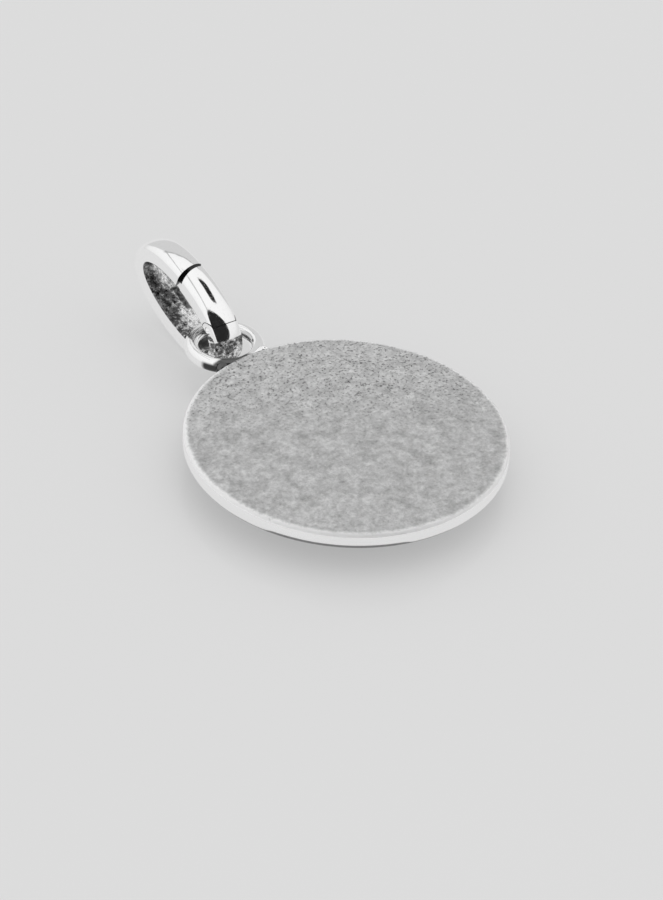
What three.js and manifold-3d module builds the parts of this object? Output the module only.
// Round silver medal with a soldered hanging ring and an oval clip link with a sprung gate.
// Millimetres. The medal lies on its relief, plain back up.
// The origin is the middle of the relief's flat worn face, +Z points out of the plain back,
// and +Y points from the medal's middle to its ring.

import * as THREE from 'three';
import { mergeVertices } from 'three/addons/utils/BufferGeometryUtils.js';
import Module from 'manifold-3d';

const wasm = await Module();
wasm.setup();

// Medal
const medalRadius = 10;
const rimTopHeight = 2.85;
const rimThickness = 1.1;
const rimRound = 0.3;
const backCrown = 0.35;
const frontDome = 0.9;
const medalSides = 72;

// Front relief
const borderRadius = 8.9;
const borderWidth = 0.5;
const borderHeight = 0.3;
const reliefDepth = 1;
const figureFoot = -6.2;
const hemHalfWidth = 2.7;
const kneeLevel = -2.2;
const waistLevel = 0.4;
const waistHalfWidth = 1.7;
const shoulderLevel = 3.1;
const shoulderHalfWidth = 2.05;
const headLevel = 5.2;
const headHalfLength = 1.0;
const headHalfWidth = 0.76;
const haloRadius = 1.85;
const haloHeight = 0.3;
const staffOffset = 3.55;
const staffRadius = 0.2;
const armRadius = 0.46;
const mantleFoot = -4.4;
const handRadius = 0.36;
const groundHalfWidth = 4.7;

// Hanging ring
const ringWire = 0.92;
const ringCentreline = 2.11;
const ringReach = 2;
const ringSides = 12;
const ringSteps = 48;

// Solder at the foot of the ring
const solderRadius = 0.52;
const solderSpread = 1.62;
const solderOut = 0.2;

// Oval link
const holeHalfLength = 3.85;
const holeHalfHeight = 1.44;
const bandWidth = 2.08;
const bandEdge = 0.85;
const bandCrest = 1.26;
const bandInnerRound = 0.28;
const linkTurn = 3.4;
const linkPitch = 16;
const linkReach = 1.45;
const linkLift = 0.05;
const linkSide = 0.2;
const ovalSteps = 64;
const crestSteps = 4;
const crestFlat = 0.08;

// Gate, its hinge and its catch
const hingeTurn = 145;
const hingeDepth = 0.5;
const knuckleRadius = 0.54;
const knuckleWidth = 1.2;
const pinRadius = 0.24;
const gateTip = 0.5;
const gateTipSlope = 0.2;
const gateGap = 0.2;
const gateMouth = 0.38;
const catchLength = 0.6;
const catchDepth = 0.36;
const catchWidth = 1.0;
const catchOverlap = 0.5;
const knuckleSides = 32;
const pinSides = 24;

// Leaf spring behind the knuckle
const springThickness = 0.12;
const springWidth = 0.5;
const springLength = 0.9;

// Clearances
const seatGap = 0.03;
const runningGap = 0.05;
const pinGap = 0.02;

// Edges shorter than this are merged where forms cross
const leastDetail = 0.004;

// Shapes that only cut run this far past what they cut
const cutReach = 1;
const innerReach = 0.4;

// Materials
const castSilver = new THREE.MeshStandardMaterial({ color: 0xb4b4b2, roughness: 0.55, metalness: 1 });
const polishedSilver = new THREE.MeshStandardMaterial({ color: 0xe6e6e4, roughness: 0.12, metalness: 1 });
const solderSilver = new THREE.MeshStandardMaterial({ color: 0xcfcfcc, roughness: 0.3, metalness: 1 });
const springSteel = new THREE.MeshStandardMaterial({ color: 0x9a9a98, roughness: 0.35, metalness: 1 });

// A closed mesh's shape as a solid for cutting and joining
function solid(geometry) {
  const bare = geometry.clone();
  bare.deleteAttribute('normal');
  bare.deleteAttribute('uv');
  const merged = mergeVertices(bare, 1e-5);
  const vertProperties = new Float32Array(merged.attributes.position.array);
  const triVerts = new Uint32Array(merged.index.array);
  return new wasm.Manifold(new wasm.Mesh({ numProp: 3, vertProperties, triVerts }));
}

// A solid's shape back as a three.js geometry
function geometryOf(body) {
  const mesh = body.getMesh();
  const geometry = new THREE.BufferGeometry();
  geometry.setAttribute('position', new THREE.BufferAttribute(new Float32Array(mesh.vertProperties), 3));
  geometry.setIndex(new THREE.BufferAttribute(new Uint32Array(mesh.triVerts), 1));
  geometry.computeVertexNormals();
  return geometry;
}

function namedMesh(name, body, material) {
  const mesh = new THREE.Mesh(geometryOf(body), material.clone());
  mesh.name = name;
  return mesh;
}

// A lathe turned about Z from points of radius and height
function turned(points, sides) {
  const profile = points.map(([radius, height]) => new THREE.Vector2(radius, height));
  const geometry = new THREE.LatheGeometry(profile, sides);
  geometry.rotateX(Math.PI / 2);
  return solid(geometry);
}

function box(width, depth, height, x, y, z) {
  const geometry = new THREE.BoxGeometry(width, depth, height);
  geometry.translate(x, y, z);
  return solid(geometry);
}

// A round bar across the link, along X, at a place in the link's plane
function crossBar(radius, width, along, up, sides) {
  const geometry = new THREE.CylinderGeometry(radius, radius, width, sides);
  geometry.rotateZ(Math.PI / 2);
  geometry.translate(0, along, up);
  return solid(geometry);
}

// Heights of the medal's faces at a distance from its middle
const rimBottomHeight = rimTopHeight - rimThickness;
const rimInner = medalRadius - rimRound;

function backHeight(radius) {
  return rimTopHeight + backCrown * (1 - (radius / rimInner) ** 2);
}

function frontHeight(radius) {
  return rimBottomHeight - frontDome * (1 - (radius / rimInner) ** 2);
}

// The medal's blank: crowned back, rounded rim, domed front with a raised border
function blankProfile() {
  const faceSteps = 5;
  const roundSteps = 3;
  const points = [[0, frontHeight(0)]];
  const borderInner = borderRadius - borderWidth / 2;
  const borderOuter = borderRadius + borderWidth / 2;
  for (let i = 1; i < faceSteps; i += 1) {
    const radius = (borderInner * i) / faceSteps;
    points.push([radius, frontHeight(radius)]);
  }
  points.push([borderInner, frontHeight(borderInner)]);
  for (let i = 1; i < roundSteps; i += 1) {
    const turn = (Math.PI * i) / roundSteps;
    const radius = borderRadius - (borderWidth / 2) * Math.cos(turn);
    points.push([radius, frontHeight(radius) - borderHeight * Math.sin(turn)]);
  }
  points.push([borderOuter, frontHeight(borderOuter)]);
  for (let i = 0; i <= roundSteps; i += 1) {
    const turn = (Math.PI / 2) * (i / roundSteps);
    points.push([rimInner + rimRound * Math.sin(turn), rimBottomHeight + rimRound * (1 - Math.cos(turn))]);
  }
  for (let i = 0; i <= roundSteps; i += 1) {
    const turn = (Math.PI / 2) * (i / roundSteps);
    points.push([rimInner + rimRound * Math.cos(turn), rimTopHeight - rimRound * (1 - Math.sin(turn))]);
  }
  for (let i = faceSteps - 1; i >= 0; i -= 1) {
    const radius = (rimInner * i) / faceSteps;
    points.push([radius, backHeight(radius)]);
  }
  return points;
}

// Each form of the relief is made on a flat field at height 0, and then laid on the domed front
function onFront(geometry) {
  const place = geometry.attributes.position;
  for (let i = 0; i < place.count; i += 1) {
    place.setZ(i, place.getZ(i) + frontHeight(Math.hypot(place.getX(i), place.getY(i))));
  }
  return solid(geometry);
}

// A form that stands up the medal, from its rows of level, half width and depth
function standingForm(x, rows) {
  const profile = rows.map(([level, halfWidth]) => new THREE.Vector2(halfWidth, level));
  const closed = [new THREE.Vector2(0, rows[0][0]), ...profile, new THREE.Vector2(0, rows.at(-1)[0])];
  const geometry = new THREE.LatheGeometry(closed, 24);
  const place = geometry.attributes.position;
  const widthAt = new Map(rows.map(([level, halfWidth, depth]) => [level.toFixed(3), depth / halfWidth]));
  for (let i = 0; i < place.count; i += 1) {
    place.setZ(i, place.getZ(i) * widthAt.get(place.getY(i).toFixed(3)));
  }
  geometry.translate(x, 0, 0);
  return onFront(geometry);
}

function ballForm(x, y, halfWidth, halfHeight, depth) {
  const geometry = new THREE.SphereGeometry(1, 16, 10);
  geometry.scale(halfWidth, halfHeight, depth);
  geometry.translate(x, y, 0);
  return onFront(geometry);
}

// A round limb or rod of the relief, with ball ends, between two places on the field
function limbForm(from, to, startRadius, endRadius) {
  const start = new THREE.Vector3(...from, 0);
  const end = new THREE.Vector3(...to, 0);
  const along = end.clone().sub(start);
  const geometry = new THREE.CylinderGeometry(endRadius, startRadius, along.length(), 12, 6);
  const turn = new THREE.Quaternion();
  turn.setFromUnitVectors(new THREE.Vector3(0, 1, 0), along.clone().normalize());
  geometry.applyQuaternion(turn);
  const middle = start.clone().add(end).multiplyScalar(0.5);
  geometry.translate(middle.x, middle.y, 0);
  return onFront(geometry)
    .add(ballForm(...from, startRadius, startRadius, startRadius))
    .add(ballForm(...to, endRadius, endRadius, endRadius));
}

// The relief: a robed figure with a halo and a staff, standing on a low ground line
function frontRelief() {
  const neckLevel = headLevel - headHalfLength;
  const robe = standingForm(0, [
    [figureFoot, hemHalfWidth * 0.96, reliefDepth * 0.7],
    [figureFoot + 0.25, hemHalfWidth, reliefDepth * 0.85],
    [figureFoot + 1.6, hemHalfWidth * 0.95, reliefDepth * 0.97],
    [kneeLevel, hemHalfWidth * 0.83, reliefDepth],
    [waistLevel, waistHalfWidth, reliefDepth],
    [shoulderLevel - 1.2, shoulderHalfWidth * 0.95, reliefDepth],
    [shoulderLevel, shoulderHalfWidth, reliefDepth * 0.95],
    [shoulderLevel + 0.5, shoulderHalfWidth * 0.8, reliefDepth * 0.85],
    [neckLevel, 0.6, reliefDepth * 0.7],
    [neckLevel + 0.3, 0.5, reliefDepth * 0.6],
  ]);
  const head = ballForm(0, headLevel, headHalfWidth, headHalfLength, reliefDepth * 0.85);
  const haloDisc = new THREE.CylinderGeometry(haloRadius, haloRadius, haloHeight * 2, 36, 2);
  haloDisc.rotateX(Math.PI / 2);
  haloDisc.translate(0, headLevel, 0);
  const halo = onFront(haloDisc);
  const staffTop = headLevel + 0.2;
  const staff = limbForm([-staffOffset, figureFoot + 0.3], [-staffOffset, staffTop], staffRadius, staffRadius)
    .add(ballForm(-staffOffset, staffTop, 0.42, 0.42, 0.4));
  const mantleRows = [
    [mantleFoot, 0.35, 0.3],
    [mantleFoot + 0.3, 0.6, 0.42],
    [kneeLevel + 0.7, 0.75, 0.5],
    [waistLevel, 0.7, 0.55],
    [waistLevel + 1.2, 0.5, 0.5],
  ];
  const mantleOffset = waistHalfWidth + 0.7;
  const mantle = standingForm(-mantleOffset, mantleRows).add(standingForm(mantleOffset, mantleRows));
  const shoulder = [shoulderHalfWidth - 0.45, shoulderLevel + 0.1];
  const staffElbow = [0.8 - staffOffset, waistLevel + 0.5];
  const staffHand = [-staffOffset, waistLevel + 1.5];
  const staffArm = limbForm([-shoulder[0], shoulder[1]], staffElbow, armRadius, armRadius)
    .add(limbForm(staffElbow, staffHand, armRadius, handRadius))
    .add(ballForm(...staffHand, handRadius, handRadius, handRadius * 1.3));
  const blessingElbow = [shoulderHalfWidth + 0.8, waistLevel + 0.7];
  const blessingHand = [shoulderHalfWidth + 1, shoulderLevel + 0.5];
  const blessingArm = limbForm(shoulder, blessingElbow, armRadius, armRadius)
    .add(limbForm(blessingElbow, blessingHand, armRadius, handRadius * 0.8))
    .add(ballForm(blessingHand[0], blessingHand[1] + 0.35, handRadius * 0.85, handRadius * 1.4, handRadius));
  const ground = ballForm(0, figureFoot - 0.15, groundHalfWidth, 0.55, 0.4);
  return robe.add(head).add(halo).add(staff).add(mantle).add(staffArm).add(blessingArm).add(ground);
}

// The hanging ring's round wire, filed to a saddle where it sits on the rim
const ringDistance = medalRadius + ringReach;
const ringHeight = rimTopHeight - rimThickness / 2;
const ringWireRadius = ringWire / 2;

function ringWireBody(extra) {
  const geometry = new THREE.TorusGeometry(ringCentreline, ringWireRadius + extra, ringSides, ringSteps);
  geometry.translate(0, ringDistance, ringHeight);
  return solid(geometry);
}

function rimCutter(gap) {
  const depth = rimThickness * 3;
  const geometry = new THREE.CylinderGeometry(medalRadius + gap, medalRadius + gap, depth, medalSides);
  geometry.rotateX(Math.PI / 2);
  geometry.translate(0, 0, ringHeight);
  return solid(geometry);
}

function ringSolder(side) {
  const blob = new THREE.SphereGeometry(solderRadius, 20, 14);
  blob.translate(side * solderSpread, medalRadius + solderOut, ringHeight);
  return solid(blob).subtract(rimCutter(seatGap)).subtract(ringWireBody(seatGap));
}

// The oval link, lying in the YZ plane round its own middle, with its long axis along Y.
// An outline of the hole, moved outwards by an even distance
function ovalOutline(offset) {
  const points = [];
  for (let i = 0; i < ovalSteps; i += 1) {
    const turn = (2 * Math.PI * i) / ovalSteps;
    const place = ovalPoint(turn, offset);
    points.push(new THREE.Vector2(place.along, place.up));
  }
  return points;
}

function ovalPoint(turn, offset) {
  const outAlong = Math.cos(turn) / holeHalfLength;
  const outUp = Math.sin(turn) / holeHalfHeight;
  const size = Math.hypot(outAlong, outUp);
  return {
    along: holeHalfLength * Math.cos(turn) + (offset * outAlong) / size,
    up: holeHalfHeight * Math.sin(turn) + (offset * outUp) / size,
  };
}

// An outline in the link's plane, extruded along X and centred on the link's middle plane
function across(outline, width, bevelDepth, bevelSize) {
  const geometry = new THREE.ExtrudeGeometry(new THREE.Shape(outline), {
    depth: width - 2 * bevelDepth,
    bevelEnabled: bevelDepth > 0,
    bevelThickness: bevelDepth,
    bevelSize,
    bevelSegments: crestSteps,
  });
  geometry.translate(0, 0, bevelDepth - width / 2);
  geometry.applyMatrix4(new THREE.Matrix4().makeBasis(
    new THREE.Vector3(0, 1, 0), new THREE.Vector3(0, 0, 1), new THREE.Vector3(1, 0, 0)));
  return solid(geometry);
}

function linkBand() {
  const crown = across(ovalOutline(bandEdge), bandWidth, (bandWidth - crestFlat) / 2, bandCrest - bandEdge);
  const hole = across(ovalOutline(0), bandWidth * 2, 0, 0);
  const mouth = across(ovalOutline(0), bandInnerRound * 2, bandInnerRound * 0.98, bandInnerRound);
  return crown.subtract(hole)
    .subtract(mouth.translate([bandWidth / 2, 0, 0]))
    .subtract(mouth.translate([-bandWidth / 2, 0, 0]));
}

// The hinge's place, and the half of the link on its gate side
const hinge = ovalPoint(THREE.MathUtils.degToRad(hingeTurn), hingeDepth);
const hingeInner = ovalPoint(THREE.MathUtils.degToRad(hingeTurn), 0);
const splitAngle = Math.atan2(hinge.up - hingeInner.up, hinge.along - hingeInner.along);
const farPast = holeHalfLength + bandCrest + cutReach;
const outerWidth = bandWidth + cutReach;
const springStart = knuckleRadius + runningGap;

// The stretch of the band that the gate takes, from the hinge to a slanting cut. The run is how
// far the cut slants over the band's thickness.
function gateStretch(tip, run, hingeInset) {
  const outDirection = new THREE.Vector2(Math.cos(splitAngle), Math.sin(splitAngle));
  const alongDirection = new THREE.Vector2(outDirection.y, -outDirection.x);
  const start = new THREE.Vector2(hinge.along, hinge.up).addScaledVector(alongDirection, hingeInset);
  const low = start.clone().addScaledVector(outDirection, -(hingeDepth + innerReach));
  const high = start.clone().addScaledVector(outDirection, bandCrest + cutReach);
  const slope = run / bandCrest;
  const innerTip = new THREE.Vector2(tip + slope * (holeHalfHeight - hinge.up / 2), hinge.up / 2);
  const outerTip = new THREE.Vector2(tip + slope * (holeHalfHeight - farPast), farPast);
  return across([low, innerTip, outerTip, high], outerWidth, 0, 0);
}

function midSlab(width) {
  return box(width, farPast * 2, farPast * 2, 0, 0, 0);
}

function knuckleBar(extra, width) {
  return crossBar(knuckleRadius + extra, width, hinge.along, hinge.up, knuckleSides);
}

function catchTongue(extra) {
  const inner = ovalPoint(Math.acos(gateTip / holeHalfLength), 0).up;
  const low = inner - catchOverlap;
  const high = inner + catchDepth + extra;
  const length = catchOverlap + catchLength + 2 * extra;
  const middle = gateTip - catchOverlap + length / 2;
  return box(catchWidth + 2 * extra, length, high - low, 0, middle, (high + low) / 2);
}

const band = linkBand();

function gateBody() {
  const knuckle = band.intersect(knuckleBar(0, knuckleWidth));
  const stretch = band.intersect(gateStretch(gateTip, gateTipSlope, 0));
  const forkRoom = knuckleBar(runningGap, outerWidth).subtract(midSlab(knuckleWidth));
  const tongue = band.intersect(catchTongue(0));
  return stretch.subtract(forkRoom).add(knuckle).add(tongue)
    .subtract(crossBar(pinRadius + runningGap, outerWidth, hinge.along, hinge.up, pinSides));
}

function clipBody() {
  const forkWidth = knuckleWidth + 2 * runningGap;
  const ears = band.intersect(knuckleBar(0, outerWidth)).subtract(midSlab(forkWidth));
  const slant = gateTipSlope + gateMouth - gateGap;
  const rest = band.subtract(gateStretch(gateTip + gateMouth, slant, -runningGap));
  const knuckleRoom = knuckleBar(runningGap, forkWidth);
  return rest.add(ears).subtract(knuckleRoom).subtract(catchTongue(runningGap))
    .subtract(crossBar(pinRadius + pinGap, outerWidth, hinge.along, hinge.up, pinSides))
    .subtract(springSlot());
}

function hingePin() {
  return crossBar(pinRadius, bandWidth - 2 * pinGap, hinge.along, hinge.up, pinSides);
}

// A straight block that runs from near the hinge into the loop's end
function springBlock(thickness, width, start, end) {
  const geometry = new THREE.BoxGeometry(width, end - start, thickness);
  geometry.translate(0, -(start + end) / 2, 0);
  geometry.rotateX(splitAngle - Math.PI / 2);
  geometry.translate(0, hinge.along, hinge.up);
  return solid(geometry);
}

function leafSpring() {
  return springBlock(springThickness, springWidth, springStart, springStart + springLength);
}

// The spring's slot opens into the knuckle's room
function springSlot() {
  const thickness = springThickness + 2 * runningGap;
  const width = springWidth + 2 * runningGap;
  return springBlock(thickness, width, knuckleRadius - runningGap, springStart + springLength + runningGap);
}

// The medal and its ring
const object = new THREE.Group();
const blank = turned(blankProfile(), medalSides);
const wornAway = box(medalRadius * 4, medalRadius * 4, 2, 0, 0, -1);
const medal = blank.add(frontRelief()).subtract(wornAway).asOriginal().simplify(leastDetail);
object.add(namedMesh('medal_disc', medal, castSilver));
object.add(namedMesh('hanging_ring', ringWireBody(0).subtract(rimCutter(seatGap)), polishedSilver));
object.add(namedMesh('ring_solder_left', ringSolder(-1), solderSilver));
object.add(namedMesh('ring_solder_right', ringSolder(1), solderSilver));

// The link, hung on the ring's outer bar and turned a little round the ring
const linkRound = new THREE.Group();
linkRound.position.set(0, ringDistance, ringHeight);
linkRound.rotation.z = -THREE.MathUtils.degToRad(linkTurn);
const link = new THREE.Group();
link.position.set(linkSide, ringCentreline, 0);
link.rotation.x = THREE.MathUtils.degToRad(linkPitch);
const linkParts = new THREE.Group();
linkParts.position.set(0, holeHalfLength - linkReach, linkLift);
linkParts.add(namedMesh('clip_body', clipBody(), polishedSilver));
linkParts.add(namedMesh('clip_gate', gateBody(), polishedSilver));
linkParts.add(namedMesh('gate_hinge_pin', hingePin(), polishedSilver));
linkParts.add(namedMesh('gate_spring', leafSpring(), springSteel));
link.add(linkParts);
linkRound.add(link);
object.add(linkRound);

export default object;
